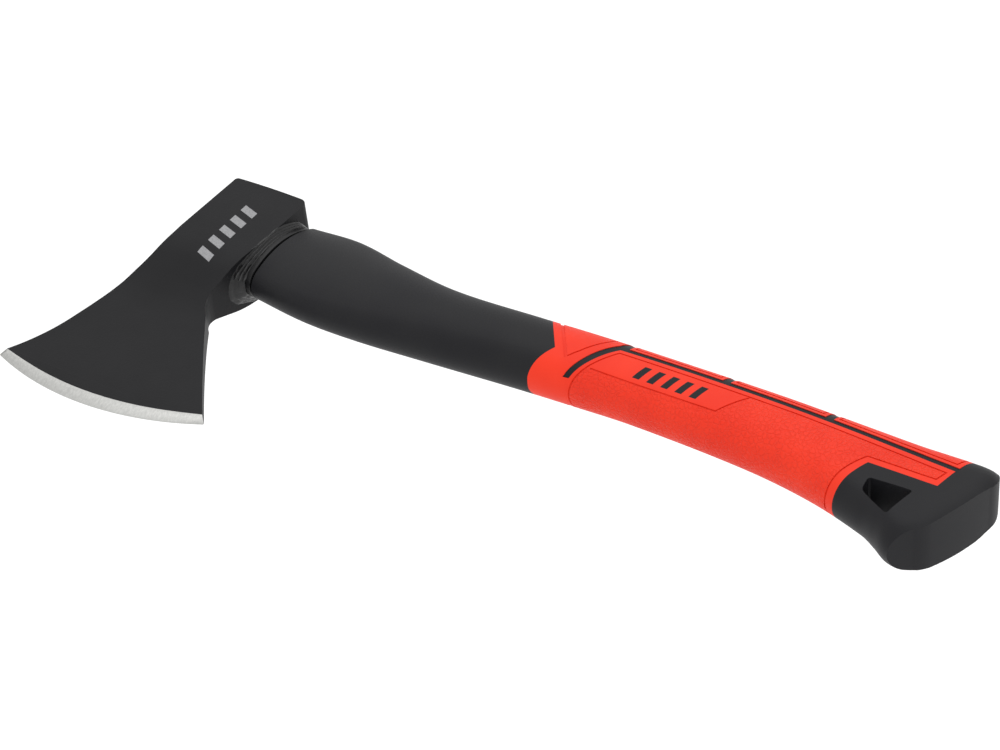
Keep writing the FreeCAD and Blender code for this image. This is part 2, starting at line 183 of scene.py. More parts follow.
# %% [markdown]
# ## Helpers for outlines
# The shapes of the blade and of the coloured grip are drawn flat, as corners joined by straight
# sides or arcs, and cut straight down through the tool, which is how the mould's parting works.
# An arc is given by its radius and the side its centre lies on.

# %% Outline helpers
ARC_STEP = 1.0      # mm between points along an arc
PRISM_HALF = 22.0   # mm, past both cheeks


def outline(corners, closed=True):
    """Points along an outline. A corner is (x, y) or, before an arc, (x, y, radius, side)."""
    points = []
    count = len(corners)
    for number in range(count if closed else count - 1):
        start = Vector(corners[number][:2])
        end = Vector(corners[(number + 1) % count][:2])
        points.append(start)
        if len(corners[number]) == 2:
            continue
        radius, side = corners[number][2:]
        chord = end - start
        turn = 1.0 if side == "left" else -1.0
        across = Vector((-chord.y, chord.x)).normalized() * turn
        centre = (start + end) / 2 + across * math.sqrt(radius ** 2 - (chord.length / 2) ** 2)
        sweep = 2 * math.asin(chord.length / 2 / radius) * turn
        steps = max(4, round(abs(sweep) * radius / ARC_STEP))
        for step in range(1, steps):
            arm = start - centre
            arm.rotate(Matrix.Rotation(sweep * step / steps, 2))
            points.append(centre + arm)
    if not closed:
        points.append(Vector(corners[-1][:2]))
    return points


def prism(points, name, upright_round=0.0):
    """A closed outline pushed straight up, as a solid. Its upright edges can be rounded, in mm."""
    bm = bmesh.new()
    ring = [bm.verts.new((point.x, point.y, -PRISM_HALF)) for point in points]
    face = bm.faces.new(ring)
    raised = bmesh.ops.extrude_face_region(bm, geom=[face])
    lifted = [item for item in raised["geom"] if isinstance(item, bmesh.types.BMVert)]
    bmesh.ops.translate(bm, vec=(0, 0, 2 * PRISM_HALF), verts=lifted)
    if upright_round:
        upright = [e for e in bm.edges if abs(e.verts[0].co.z - e.verts[1].co.z) > PRISM_HALF]
        bmesh.ops.bevel(bm, geom=upright, offset=upright_round, offset_type="OFFSET", segments=5,
                        profile=0.5, affect="EDGES", material=-1, clamp_overlap=True)
    bmesh.ops.recalc_face_normals(bm, faces=bm.faces)
    return to_object(bm, name)


def wall(points, thickness):
    """An open line pushed straight up and given a thickness, for cutting a groove."""
    bm = bmesh.new()
    line = [bm.verts.new((point.x, point.y, -PRISM_HALF)) for point in points]
    edges = [bm.edges.new(pair) for pair in zip(line, line[1:])]
    raised = bmesh.ops.extrude_edge_only(bm, edges=edges)
    lifted = [item for item in raised["geom"] if isinstance(item, bmesh.types.BMVert)]
    bmesh.ops.translate(bm, vec=(0, 0, 2 * PRISM_HALF), verts=lifted)
    obj = to_object(bm, "wall")
    solid = obj.modifiers.new("thickness", "SOLIDIFY")
    solid.thickness = thickness * MM
    solid.offset = 0.0
    solid.use_even_offset = True
    return bake_modifiers(obj)


# %% [markdown]
# ## Helpers for materials
# Colours are written as the hex values a designer would pick and turned to the linear values that
# shaders work in. One function adds a node, sets its inputs and links it.

# %% Material helpers
def linear(hex_colour):
    """sRGB hex, such as #E03A2A, to a linear RGBA colour."""
    channels = [int(hex_colour[start:start + 2], 16) / 255 for start in (1, 3, 5)]
    curve = [c / 12.92 if c <= 0.04045 else ((c + 0.055) / 1.055) ** 2.4 for c in channels]
    return (*curve, 1.0)


def add_node(tree, kind, settings=None, inputs=None):
    """Adds a node. settings are its properties; an input is a value or another node's output."""
    node = tree.nodes.new(kind)
    for key, value in (settings or {}).items():
        setattr(node, key, value)
    for key, value in (inputs or {}).items():
        if isinstance(value, bpy.types.NodeSocket):
            tree.links.new(value, node.inputs[key])
        else:
            node.inputs[key].default_value = value
    return node


def new_material(name):
    """A material with its node tree and the shader that the textures feed."""
    material = bpy.data.materials.new(name)
    material.use_nodes = True
    tree = material.node_tree
    shader = tree.nodes["Principled BSDF"]
    return material, tree, shader


def ramp_colours(node, *stops):
    """Sets a colour ramp's stops, each (position, colour)."""
    elements = node.color_ramp.elements
    while len(elements) < len(stops):
        elements.new(0.5)
    for element, (position, colour) in zip(elements, stops):
        element.position = position
        element.color = colour


def two_tones(tree, shader, pattern, dark, light):
    """Colours the shader by a pattern, between two tones given as (position, hex)."""
    colour = add_node(tree, "ShaderNodeValToRGB", inputs={"Fac": pattern.outputs["Fac"]})
    ramp_colours(colour, *[(position, linear(tone)) for position, tone in (dark, light)])
    tree.links.new(colour.outputs["Color"], shader.inputs["Base Color"])


def grain(tree, coordinates, size_mm, detail=2.0, roughness=0.5):
    """Soft noise whose lumps are about size_mm across, on Object coordinates."""
    return add_node(tree, "ShaderNodeTexNoise", inputs={
        "Vector": coordinates, "Scale": 1.0 / (size_mm * MM), "Detail": detail,
        "Roughness": roughness})


def object_coordinates(tree):
    """Places in metres on the piece, so that a pattern keeps its real size."""
    return add_node(tree, "ShaderNodeTexCoord").outputs["Object"]


def bump(tree, height, depth_mm, normal=None):
    """Turns a height map depth_mm deep to a normal, on top of another normal if there is one."""
    inputs = {"Height": height, "Distance": depth_mm * MM, "Strength": 1.0}
    if normal is not None:
        inputs["Normal"] = normal
    return add_node(tree, "ShaderNodeBump", inputs=inputs).outputs["Normal"]


# %% [markdown]
# ## The form of the handle
# The real handle is injection moulded round a glass fibre rod. Its section is a flattened oval of
# four arcs, which narrows at the neck, widens at the palm and swells at the butt. A modeller calls
# a skin drawn through such sections a loft. Blender has no loft operator, so a ring of points is
# extruded again and again, and each new ring is given the next section's shape.

# %% The sections of the handle
# x along the handle, then the reach towards the poll, the reach towards the bit, half the
# thickness, and the radius of the two round ends, all in mm about the eye.
HANDLE_SECTIONS = (
    (25.2, 23.2, -19.9, 11.0, 7.8),
    (50.0, 24.0, -23.2, 11.4, 8.3),
    (75.0, 19.1, -22.9, 12.0, 9.5),
    (105.0, 14.6, -20.5, 12.3, 10.7),
    (147.0, 15.5, -17.0, 12.6, 11.7),
    (172.0, 16.6, -15.6, 12.6, 11.8),
    (200.0, 17.1, -14.5, 12.7, 12.0),
    (250.0, 17.6, -16.3, 12.7, 12.0),
    (280.0, 17.0, -20.6, 12.7, 11.9),
    (305.0, 16.4, -27.9, 12.6, 11.6),
    (312.0, 16.3, -31.7, 12.6, 11.6),
    (318.0, 16.5, -35.7, 12.6, 11.5),
    (324.0, 16.6, -37.6, 12.6, 11.6),
    (334.0, 16.9, -38.0, 12.6, 11.6),
    (354.0, 16.9, -38.0, 12.6, 11.6),
)
HANDLE_START = HANDLE_SECTIONS[0][0]
NECK_LEAN = 0.09       # how far the neck's first ring leans, mm of x per mm of y
LEAN_LENGTH = 22.0     # mm over which the rings straighten up
END_ARC_STEPS = 18     # points round each end of the oval
CHEEK_STEPS = 30       # points over each cheek
RING_STEP = 2.0        # mm between rings
BUTT_RING_STEP = 1.0   # closer at the butt, where the form turns over


def smooth_row(rows, x):
    """The row at x, on a smooth curve through the listed rows."""
    last = len(rows) - 1
    k = max(0, min(last - 1, sum(1 for row in rows if row[0] <= x) - 1))
    before, start, end, after = (rows[max(0, min(last, k + step))] for step in (-1, 0, 1, 2))
    span = end[0] - start[0]
    t = (x - start[0]) / span
    result = []
    for field in range(1, len(start)):
        tangent_start = (end[field] - before[field]) / (end[0] - before[0]) * span
        tangent_end = (after[field] - start[field]) / (after[0] - start[0]) * span
        result.append((2 * t ** 3 - 3 * t ** 2 + 1) * start[field]
                      + (t ** 3 - 2 * t ** 2 + t) * tangent_start
                      + (3 * t ** 2 - 2 * t ** 3) * end[field]
                      + (t ** 3 - t ** 2) * tangent_end)
    return result


def section_at(x):
    """The handle's section at x: reach to the poll, reach to the bit, half thickness, end radius."""
    return smooth_row(HANDLE_SECTIONS, x)


def shrunk(section, inset):
    """The same section, inset mm further in all round."""
    far, near, half, corner = section
    return far - inset, near + inset, half - inset, max(corner - inset, 1.0)


def oval_points(far, near, half, corner):
    """Points (along, z) of the four-arc oval, in order round it."""
    reach = (far - near) / 2 - corner
    rise = max(half - corner, 0.05)
    drop = (reach ** 2 - rise ** 2) / (2 * rise)
    turn = math.atan2(drop, reach)
    middle = (far + near) / 2
    arcs = (
        (far - corner, 0.0, corner, -turn, turn, END_ARC_STEPS),
        (middle, -drop, drop + half, turn, math.pi - turn, CHEEK_STEPS),
        (near + corner, 0.0, corner, math.pi - turn, math.pi + turn, END_ARC_STEPS),
        (middle, drop, drop + half, math.pi + turn, 2 * math.pi - turn, CHEEK_STEPS),
    )
    points = []
    for centre, height, radius, first, last, steps in arcs:
        for step in range(steps):
            angle = first + (last - first) * step / steps
            points.append((centre + radius * math.cos(angle), height + radius * math.sin(angle)))
    return points


RING_POINTS = 2 * (END_ARC_STEPS + CHEEK_STEPS)
print("points round each ring:", RING_POINTS)


def place_ring(verts, far_point, near_point, half, corner):
    """Moves a ring of vertices to the oval that stands between two points of the blade's plane."""
    far_point, near_point = Vector(far_point), Vector(near_point)
    middle = (far_point + near_point) / 2
    along = far_point - near_point
    reach = along.length / 2
    along.normalize()
    for vert, (offset, z) in zip(verts, oval_points(reach, -reach, half, corner)):
        vert.co = (middle.x + along.x * offset, middle.y + along.y * offset, z)


def next_ring(bm, verts):
    """Extrudes the ring once and returns the new ring, in the same order."""
    edges = [bm.edges.get((a, b)) for a, b in zip(verts, verts[1:] + verts[:1])]
    made = bmesh.ops.extrude_edge_only(bm, edges=edges)["geom"]
    fresh = {v for v in made if isinstance(v, bmesh.types.BMVert)}
    return [next(e.other_vert(v) for e in v.link_edges if e.other_vert(v) in fresh) for v in verts]


# %% [markdown]
# The butt is cut off at a slant: seen flat, its end is a long crowned line between a wide corner on
# the poll side and a tighter one on the bit side. The cheeks roll down a little before they reach
# it. So the loft runs past the end, its last rings are lowered, and an upright wall trims it.

# %% The end of the butt
SLANT = math.radians(22.5)               # of the end face, from square
END_CORNERS = ((331.7, 16.9), (342.7, 1.6), (332.6, -24.3), (327.4, -30.0), (316.4, -41.0))
POLL_RADIUS, FACE_RADIUS, BIT_RADIUS = 11.0, 130.0, 14.0
BUTT_START = 300.0                       # mm along the handle, where the closer rings begin
ROLL_LENGTH, ROLL_DROP = 6.0, 0.9        # mm before the end, and how far the cheeks come down
CORNER_DROP = 2.0                        # mm more at the poll corner
CORNER_FROM, CORNER_WIDTH = -4.0, 14.0   # y where that begins, and mm over which it grows
ROLL_FROM = 306.0                        # mm along the handle, before which nothing is lowered
ROLL_TURN = 0.96                         # how much of a quarter round the roll makes
OVER, UNDER = 30.0, -50.0                # y beyond the spine and beyond the bit side


def end_line(inset=0.0):
    """The end of the butt in the blade's plane, from the poll side round to the bit side."""
    shift = Vector((math.cos(SLANT), -math.sin(SLANT))) * -inset
    poll, face, bit, chamfer, end = [tuple(Vector(corner) + shift) for corner in END_CORNERS]
    return outline((
        (*poll, POLL_RADIUS, "right"),
        (*face, FACE_RADIUS, "right"),
        (*bit, BIT_RADIUS, "right"),
        chamfer,
        end,
    ), closed=False)


print("butt end, mm:", round(sum((b - a).length for a, b in zip(end_line(), end_line()[1:])), 1))


def from_line(point, points):
    """Distance from a point to a line of points."""
    nearest = 1e9
    for a, b in zip(points, points[1:]):
        side = b - a
        share = max(0.0, min(1.0, (point - a).dot(side) / side.length_squared))
        nearest = min(nearest, (a + side * share - point).length)
    return nearest


def inside(point, points):
    """Whether a point lies inside the closed line of points."""
    crossings = 0
    for a, b in zip(points, points[1:] + points[:1]):
        if (a.y > point.y) != (b.y > point.y):
            if point.x < a.x + (b.x - a.x) * (point.y - a.y) / (b.y - a.y):
                crossings += 1
    return crossings % 2 == 1


def end_zone(inset=0.0):
    """The whole area of the handle up to the end line."""
    line = end_line(inset)
    poll_side = [Vector((0.0, OVER)), Vector((line[0].x, OVER))]
    bit_side = [Vector((line[-1].x, UNDER)), Vector((0.0, UNDER))]
    return [*poll_side, *line, *bit_side]


def roll_down(verts):
    """Lowers both cheeks on a quarter round as they come to the end of the butt."""
    line, zone = end_line(), end_zone()
    for vert in verts:
        if vert.co.x < ROLL_FROM:
            continue
        point = vert.co.xy
        past = max(0.0, 1.0 - from_line(point, line) / ROLL_LENGTH) if inside(point, zone) else 1.0
        fall = (1 - math.sqrt(1 - (ROLL_TURN * past) ** 2)) / (1 - math.sqrt(1 - ROLL_TURN ** 2))
        drop = ROLL_DROP + CORNER_DROP * max(0.0, min(1.0, (vert.co.y - CORNER_FROM) / CORNER_WIDTH))
        vert.co.z *= 1 - drop / HANDLE_SECTIONS[-1][3] * fall


def handle_form(name, inset=0.0, start=HANDLE_START):
    """The handle's outer form, or the same form inset mm further in, closed at both ends."""
    bm = bmesh.new()
    circle = bmesh.ops.create_circle(bm, segments=RING_POINTS, radius=1.0, cap_ends=False)["verts"]
    verts = circle
    x = start
    while x <= HANDLE_SECTIONS[-1][0]:
        far, near, half, corner = shrunk(section_at(x), inset)
        lean = NECK_LEAN * max(0.0, 1 - (x - HANDLE_START) / LEAN_LENGTH)
        if x > start:
            verts = next_ring(bm, verts)
        place_ring(verts, (x + lean * far, far), (x + lean * near, near), half, corner)
        x += RING_STEP if x < BUTT_START else BUTT_RING_STEP
    roll_down(bm.verts)
    bmesh.ops.contextual_create(bm, geom=verts)
    bmesh.ops.contextual_create(bm, geom=circle)
    bmesh.ops.recalc_face_normals(bm, faces=bm.faces)
    return boolean(to_object(bm, name), "INTERSECT", prism(end_zone(inset), "trim"))


# %% [markdown]
# ## Zones of the grip
# The red grip is moulded over the black jacket in a second shot. Its outlines are drawn flat on the
# side of the tool and reach through to the other side, so one outline shapes both cheeks. A zone
# that is pushed up into a block, less the handle's inner form, is exactly the room that the red
# rubber fills: it is cut from the jacket, and the same block trims the red piece to size.

# %% Outlines of the sleeve and the spine pads
GRIP_WALL = 2.2         # mm of rubber over the jacket
SLOT_WIDTH = 2.5        # the black band between sleeve and pads
SLOT_ARC = 1280.0
SLOT_START = Vector((186.0, 5.2))
SLOT_END = Vector((328.6, 2.4))
BAND_SUNK = 0.3         # mm that the black band lies below the red beside it
PAD_START, PAD_PITCH, PAD_GAP, PAD_END, PAD_SLANT = 188.6, 44.1, 3.5, 329.2, 2.4
PAD_NAMES = ("spine_pad_front", "spine_pad_middle", "spine_pad_rear")

SLEEVE = (
    (138.0, OVER),
    (162.2, -4.7, 60.0, "left"),
    (155.8, -16.0),
    (155.8, UNDER),
    (292.0, UNDER),
    (292.0, -23.6, 90.0, "right"),
    (298.8, -8.1),
    (326.4, -8.0),
    (SLOT_END.x, SLOT_END.y, SLOT_ARC, "left"),
    (SLOT_START.x, SLOT_START.y, 200.0, "left"),
    (173.2, -13.2),
    (170.4, -13.4, 200.0, "right"),
    (183.9, 8.4),
    (190.6, OVER),
)
BAND_ZONE = (
    (170.0, -14.2, 200.0, "right"),
    (183.4, 8.8),
    (190.0, OVER),
    (333.0, OVER),
    (SLOT_END.x + 0.6, SLOT_END.y - 0.6, SLOT_ARC, "left"),
    (SLOT_START.x + 0.6, SLOT_START.y - 0.6, 200.0, "left"),
    (173.8, -14.2),
)


def slot_y(x, lift=0.0):
    """Height of the black band's lower edge at x, plus lift."""
    along = (x - SLOT_START.x) / (SLOT_END.x - SLOT_START.x)
    crown = (x - SLOT_START.x) * (SLOT_END.x - x) / (2 * SLOT_ARC)
    return SLOT_START.y + (SLOT_END.y - SLOT_START.y) * along + crown + lift


def pad_outline(number):
    last = number == len(PAD_NAMES) - 1
    start = PAD_START + number * PAD_PITCH
    end = PAD_END if last else start + PAD_PITCH - PAD_GAP
    return (
        (start, slot_y(start, SLOT_WIDTH), SLOT_ARC, "right"),
        (end, slot_y(end, SLOT_WIDTH)),
        (end + 3 * PAD_SLANT if last else end + PAD_SLANT, OVER),
        (start + PAD_SLANT, OVER),
    )


print("sleeve outline points:", len(outline(SLEEVE)))

# %% [markdown]
# ## Lines engraved in the grip
# Fine grooves frame the palm, the label field and the pads. A thin wall stands on each groove's line.
# Less a form that lies half a millimetre further in, the wall cuts a groove of just that depth.

# %% Engraved lines
GROOVE_WIDTH = 0.65    # mm
GROOVE_DEPTH = 0.45    # mm
PALM_LINE = (
    (174.1, UNDER), (174.1, -15.4), (175.4, -12.9), (179.3, -6.9), (186.8, 3.2, 2200.0, "right"),
    (264.3, 3.4, 2200.0, "right"), (326.1, 0.1), (324.5, -5.0), (297.3, -5.4, 60.0, "left"),
    (288.5, -22.8), (288.5, UNDER),
)
LABEL_LINE = ((180.1, -8.1), (235.0, -7.9), (243.8, 3.3))
CHEVRON_LINE = ((142.0, OVER), (156.6, 9.8), (168.4, -6.9))
TONGUE_LINE = ((168.4, -6.9), (172.2, -2.2), (179.3, 8.8), (186.0, OVER))
PAD_MARGIN = 1.7       # mm from the edge of a pad to its line


def pad_line(number):
    low_front, low_rear, high_rear, high_front = pad_outline(number)
    start = low_front[0] + PAD_MARGIN
    end = low_rear[0] - PAD_MARGIN
    return (
        (high_front[0] + PAD_MARGIN, OVER),
        (start, slot_y(start, SLOT_WIDTH + PAD_MARGIN), SLOT_ARC, "right"),
        (end, slot_y(end, SLOT_WIDTH + PAD_MARGIN)),
        (high_rear[0] - PAD_MARGIN, OVER),
    )


print("engraved lines:", 4 + len(PAD_NAMES))

# %% [markdown]
# ## The lanyard hole and the label bars
# The hole through the butt is a rounded wedge. In the label field five short slanted bars of the
# black jacket stand up through the red, in place of any lettering.

# %% Hole and bars
LANYARD_HOLE = ((302.2, -14.5), (302.2, -20.2), (315.6, -27.4), (319.9, -14.2))
LANYARD_ROUND = 1.3    # mm, at the upright edges of the hole
BAR_COUNT = 5
BAR_FIRST_X, BAR_PITCH, BAR_WIDTH = 197.5, 6.2, 3.0
BAR_LOW_Y, BAR_HIGH_Y, BAR_SLANT = -5.9, 0.6, 2.4


def bar_prism(number):
    """The block that keeps one bar of the jacket free of red."""
    left = BAR_FIRST_X + number * BAR_PITCH
    return prism(outline((
        (left, BAR_LOW_Y),
        (left + BAR_WIDTH, BAR_LOW_Y),
        (left + BAR_WIDTH + BAR_SLANT, BAR_HIGH_Y),
        (left + BAR_SLANT, BAR_HIGH_Y),
    )), "bar")


def oval_block(name, start, end, far, near, half, corner):
    """A straight block with the four-arc oval as its section."""
    bm = bmesh.new()
    first = bmesh.ops.create_circle(bm, segments=RING_POINTS, radius=1.0, cap_ends=False)["verts"]
    place_ring(first, (start, far), (start, near), half, corner)
    last = next_ring(bm, first)
    place_ring(last, (end, far), (end, near), half, corner)
    bmesh.ops.contextual_create(bm, geom=first)
    bmesh.ops.contextual_create(bm, geom=last)
    bmesh.ops.recalc_face_normals(bm, faces=bm.faces)
    return to_object(bm, name)


print("bars reach to x =", BAR_FIRST_X + (BAR_COUNT - 1) * BAR_PITCH + BAR_WIDTH + BAR_SLANT)

# %% [markdown]
# ## Jacket, sleeve and pads
# In the factory the black jacket is moulded first and the red rubber is shot round it. Here all of
# them are cut from one form, so that they meet exactly. The rooms take the red out of the jacket,
# and what they have in common with the form is the red itself. The band between sleeve and pads is
# then lowered a little, and the lanyard hole goes straight through.

# %% Cut the jacket, the sleeve and the pads from one form
def copy_of(obj, name):
    """A second object with its own copy of the mesh."""
    twin = bpy.data.objects.new(name, obj.data.copy())
    bpy.context.scene.collection.objects.link(twin)
    return twin


INNER_START = 130.0    # mm along the handle, ahead of everything red
form = handle_form("moulded_jacket")
inner = handle_form("inner_form", GRIP_WALL, INNER_START)
groove_floor = handle_form("groove_floor", GROOVE_DEPTH, INNER_START)
band_floor = handle_form("band_floor", BAND_SUNK, INNER_START)


def room(corners, name, bars=()):
    """The room that a moulded-on piece fills, run past the surface."""
    block = prism(outline(corners), name)
    boolean(block, "DIFFERENCE", *bars)
    return boolean(block, "DIFFERENCE", inner, keep=True)


def engraved(line, width, floor):
    """A cutter for a groove along the line, down to the floor form."""
    return boolean(wall(outline(line, closed=False), width), "DIFFERENCE", floor, keep=True)


rooms = {"grip_sleeve": room(SLEEVE, "sleeve_room", [bar_prism(n) for n in range(BAR_COUNT)])}
for number, name in enumerate(PAD_NAMES):
    rooms[name] = room(pad_outline(number), name + "_room")
grip_pieces = {name: boolean(copy_of(form, "moulded_" + name), "INTERSECT", block, keep=True)
               for name, block in rooms.items()}
jacket = form
boolean(jacket, "DIFFERENCE", *rooms.values())
boolean(jacket, "DIFFERENCE", boolean(prism(outline(BAND_ZONE), "band_zone"), "DIFFERENCE", band_floor))
boolean(jacket, "DIFFERENCE", prism(outline(LANYARD_HOLE), "hole", LANYARD_ROUND))
for piece in [jacket, *grip_pieces.values()]:
    print(piece.name, "faces:", len(piece.data.polygons))


# %% [markdown]
# The lines are cut last. On the real grip they are thin ribs of the mould, so they are all equally
# deep and follow the surface. The chevron in the front cap is twice as wide as the others.

# %% Engrave the lines
SLEEVE_LINES = (
    (PALM_LINE, GROOVE_WIDTH),
    (LABEL_LINE, GROOVE_WIDTH),
    (CHEVRON_LINE, 2 * GROOVE_WIDTH),
    (TONGUE_LINE, GROOVE_WIDTH),
)
for line, width in SLEEVE_LINES:
    boolean(grip_pieces["grip_sleeve"], "DIFFERENCE", engraved(line, width, groove_floor))
for number, name in enumerate(PAD_NAMES):
    boolean(grip_pieces[name], "DIFFERENCE", engraved(pad_line(number), GROOVE_WIDTH, groove_floor))
remove(inner, groove_floor)
print("sleeve after engraving:", len(grip_pieces["grip_sleeve"].data.polygons), "faces")

# %% [markdown]
# ## The finish of the head
# After forging the whole head is coated black, which keeps it from rusting in the store. The
# coating is matte and nearly even, so its roughness varies a little more than its colour does.

# %% Black coating on the forging
def black_coating():
    """Black paint over forged steel: matte, nearly even, with a faint orange-peel grain."""
    material, tree, shader = new_material("black_coated_forging")
    place = object_coordinates(tree)
    patches = grain(tree, place, 24.0, detail=3.0)
    two_tones(tree, shader, patches, (0.35, "#111113"), (0.65, "#151517"))
    sheen_map = add_node(tree, "ShaderNodeMapRange", inputs={
        "Value": grain(tree, place, 6.0).outputs["Fac"], "To Min": 0.46, "To Max": 0.56})
    tree.links.new(sheen_map.outputs["Result"], shader.inputs["Roughness"])
    peel = bump(tree, grain(tree, place, 0.9, detail=3.0).outputs["Fac"], 0.05)
    tree.links.new(peel, shader.inputs["Normal"])
    shader.inputs["Specular IOR Level"].default_value = 0.16
    return material


# %% [markdown]
# The bevel is ground after coating, which leaves bright steel with fine scratches square to the
# edge. The noise is stretched along one axis, which turns its grains into scratches.

# %% Ground steel of the bevel
def ground_steel():
    """Carbon steel off the grinding belt: bright, with fine scratches square to the edge."""
    material, tree, shader = new_material("belt_ground_steel")
    place = object_coordinates(tree)
    stretched = add_node(tree, "ShaderNodeMapping", inputs={"Vector": place, "Scale": (1.0, 0.12, 1.0)})
    scratches = grain(tree, stretched.outputs["Vector"], 0.5, detail=4.0, roughness=0.7)
    two_tones(tree, shader, scratches, (0.3, "#A2A2A0"), (0.7, "#BABAB7"))
    shader.inputs["Metallic"].default_value = 1.0
    shader.inputs["Roughness"].default_value = 0.42
    tree.links.new(bump(tree, scratches.outputs["Fac"], 0.03), shader.inputs["Normal"])
    return material


# %% [markdown]
# ## The forged head
# A hatchet's head is one forging: a thick block round the eye that thins to a wedge and sweeps out
# to the cutting edge. Seen flat it is an outline of arcs; seen from the side it is a curve of
# thickness. So one sheet is drawn to the outline, sliced across so that it can bend, raised to the
# cheek's curve, and then pushed down through the tool to give the other cheek.

# %% Outline of the head
POLL_X = 18.0                       # from the centre of the eye to the top of the head
SEAT = (18.5, -8.0)                 # the end face that the collar sits on
THROAT = (15.0, -34.5)
POLL_REAR = (19.8, 24.2)
POLL_ARC = 360.0                    # the striking face is a little crowned
POLL_CORNER = 1.6                   # radius of its front corner
HEEL = Vector((56.3, -95.0))
TOE = Vector((TOE_X, -99.7))
EDGE_RADIUS = 131.0                 # of the cutting edge
GRIND_MIDDLE, GRIND_END = 5.3, 3.4  # mm width of the ground bevel
GRIND_SWELL = 0.7                   # how soon it reaches its full width
CORNER_SHARE = 0.12                 # of the edge, where the bevel's line bends to the outline
EDGE_HALF = 0.1                     # half the thickness of the edge itself
edge_line = outline(((TOE.x, TOE.y, EDGE_RADIUS, "left"), (HEEL.x, HEEL.y)), closed=False)
front_line = outline((
    (-POLL_X, POLL_Y - POLL_CORNER),
    (-19.0, -14.0, 130.0, "right"),
    (-22.9, -36.0, 700.0, "right"),
    (-30.2, -68.0, 85.0, "right"),
    (TOE.x, TOE.y),
), closed=False)
back_line = outline((
    (HEEL.x, HEEL.y, 800.0, "right"),
    (20.0, -45.3, 14.0, "right"),
    THROAT,
    SEAT,
    (*POLL_REAR, 3.8, "left"),
    (16.0, POLL_Y, POLL_ARC, "left"),
    (-POLL_X + POLL_CORNER, POLL_Y, POLL_CORNER, "left"),
    (-POLL_X, POLL_Y - POLL_CORNER),
), closed=False)[:-1]
toe_way = (front_line[-3] - TOE).normalized()
heel_way = (back_line[1] - HEEL).normalized()


def grind_line():
    """Where the ground bevel meets the coated cheek, set in from the cutting edge."""
    chord = HEEL - TOE
    middle = Vector((-chord.y, chord.x)).normalized()
    points = []
    for step, point in enumerate(edge_line):
        share = step / (len(edge_line) - 1)
        near_toe = max(0.0, 1 - share / CORNER_SHARE)
        near_heel = max(0.0, 1 - (1 - share) / CORNER_SHARE)
        ahead = edge_line[min(step + 1, len(edge_line) - 1)]
        along = (ahead - edge_line[max(step - 1, 0)]).normalized()
        inwards = Vector((-along.y, along.x))
        way = inwards * (1 - near_toe - near_heel) + toe_way * near_toe + heel_way * near_heel
        swell = math.sin(math.pi * share) ** GRIND_SWELL
        points.append(point + way.normalized() * (GRIND_END + (GRIND_MIDDLE - GRIND_END) * swell))
    return points


print("cutting edge, mm:", round(sum((b - a).length for a, b in zip(edge_line, edge_line[1:])), 1))

# %% [markdown]
# From the side, the head is a block over the eye and then thins in a hollow curve, which lets it bite
# and come free again. A short table of heights with a smooth curve through it is enough.

# %% Thickness of the head
WEDGE_TOP, WEDGE_FOOT = 10.0, 104.0    # how far below the eye the cheek begins to fall, and ends
CHEEKS = (                             # how far below the centre of the eye, and half the thickness
    (WEDGE_TOP, HALF_HEAD), (16.0, HALF_HEAD - 0.45), (22.0, 11.2), (29.0, 9.0), (36.0, 6.8),
    (44.0, 4.8), (53.0, 3.7), (70.0, 2.8), (WEDGE_FOOT, 1.75),
)


def cheek_height(y):
    """Half the thickness of the head at y: flat over the eye, a shoulder, then a thin hollow wedge."""
    return HALF_HEAD if -y <= WEDGE_TOP else smooth_row(CHEEKS, -y)[0]


print("half thickness over the eye and halfway down the blade, mm:",
      [round(cheek_height(y), 2) for y in (0.0, -WEDGE_FOOT / 2)])


# %% [markdown]
# ## Raising the sheet
# A forged cheek bends only one way, so the sheet is cut into narrow strips across the bend. The
# bevel is one more strip, extruded from the rim to the cutting edge, with the ground finish on it.

# %% The head as a sheet, raised and doubled
SLICE = 1.5            # mm between the slices that let the cheek bend
SNAP = 0.4             # mm within which a slice goes through a corner that is there already
TOE_GAP = 0.8          # mm of the outline left out beside the bevel's end, at the toe
COATED, GROUND = 0, 1  # material slots


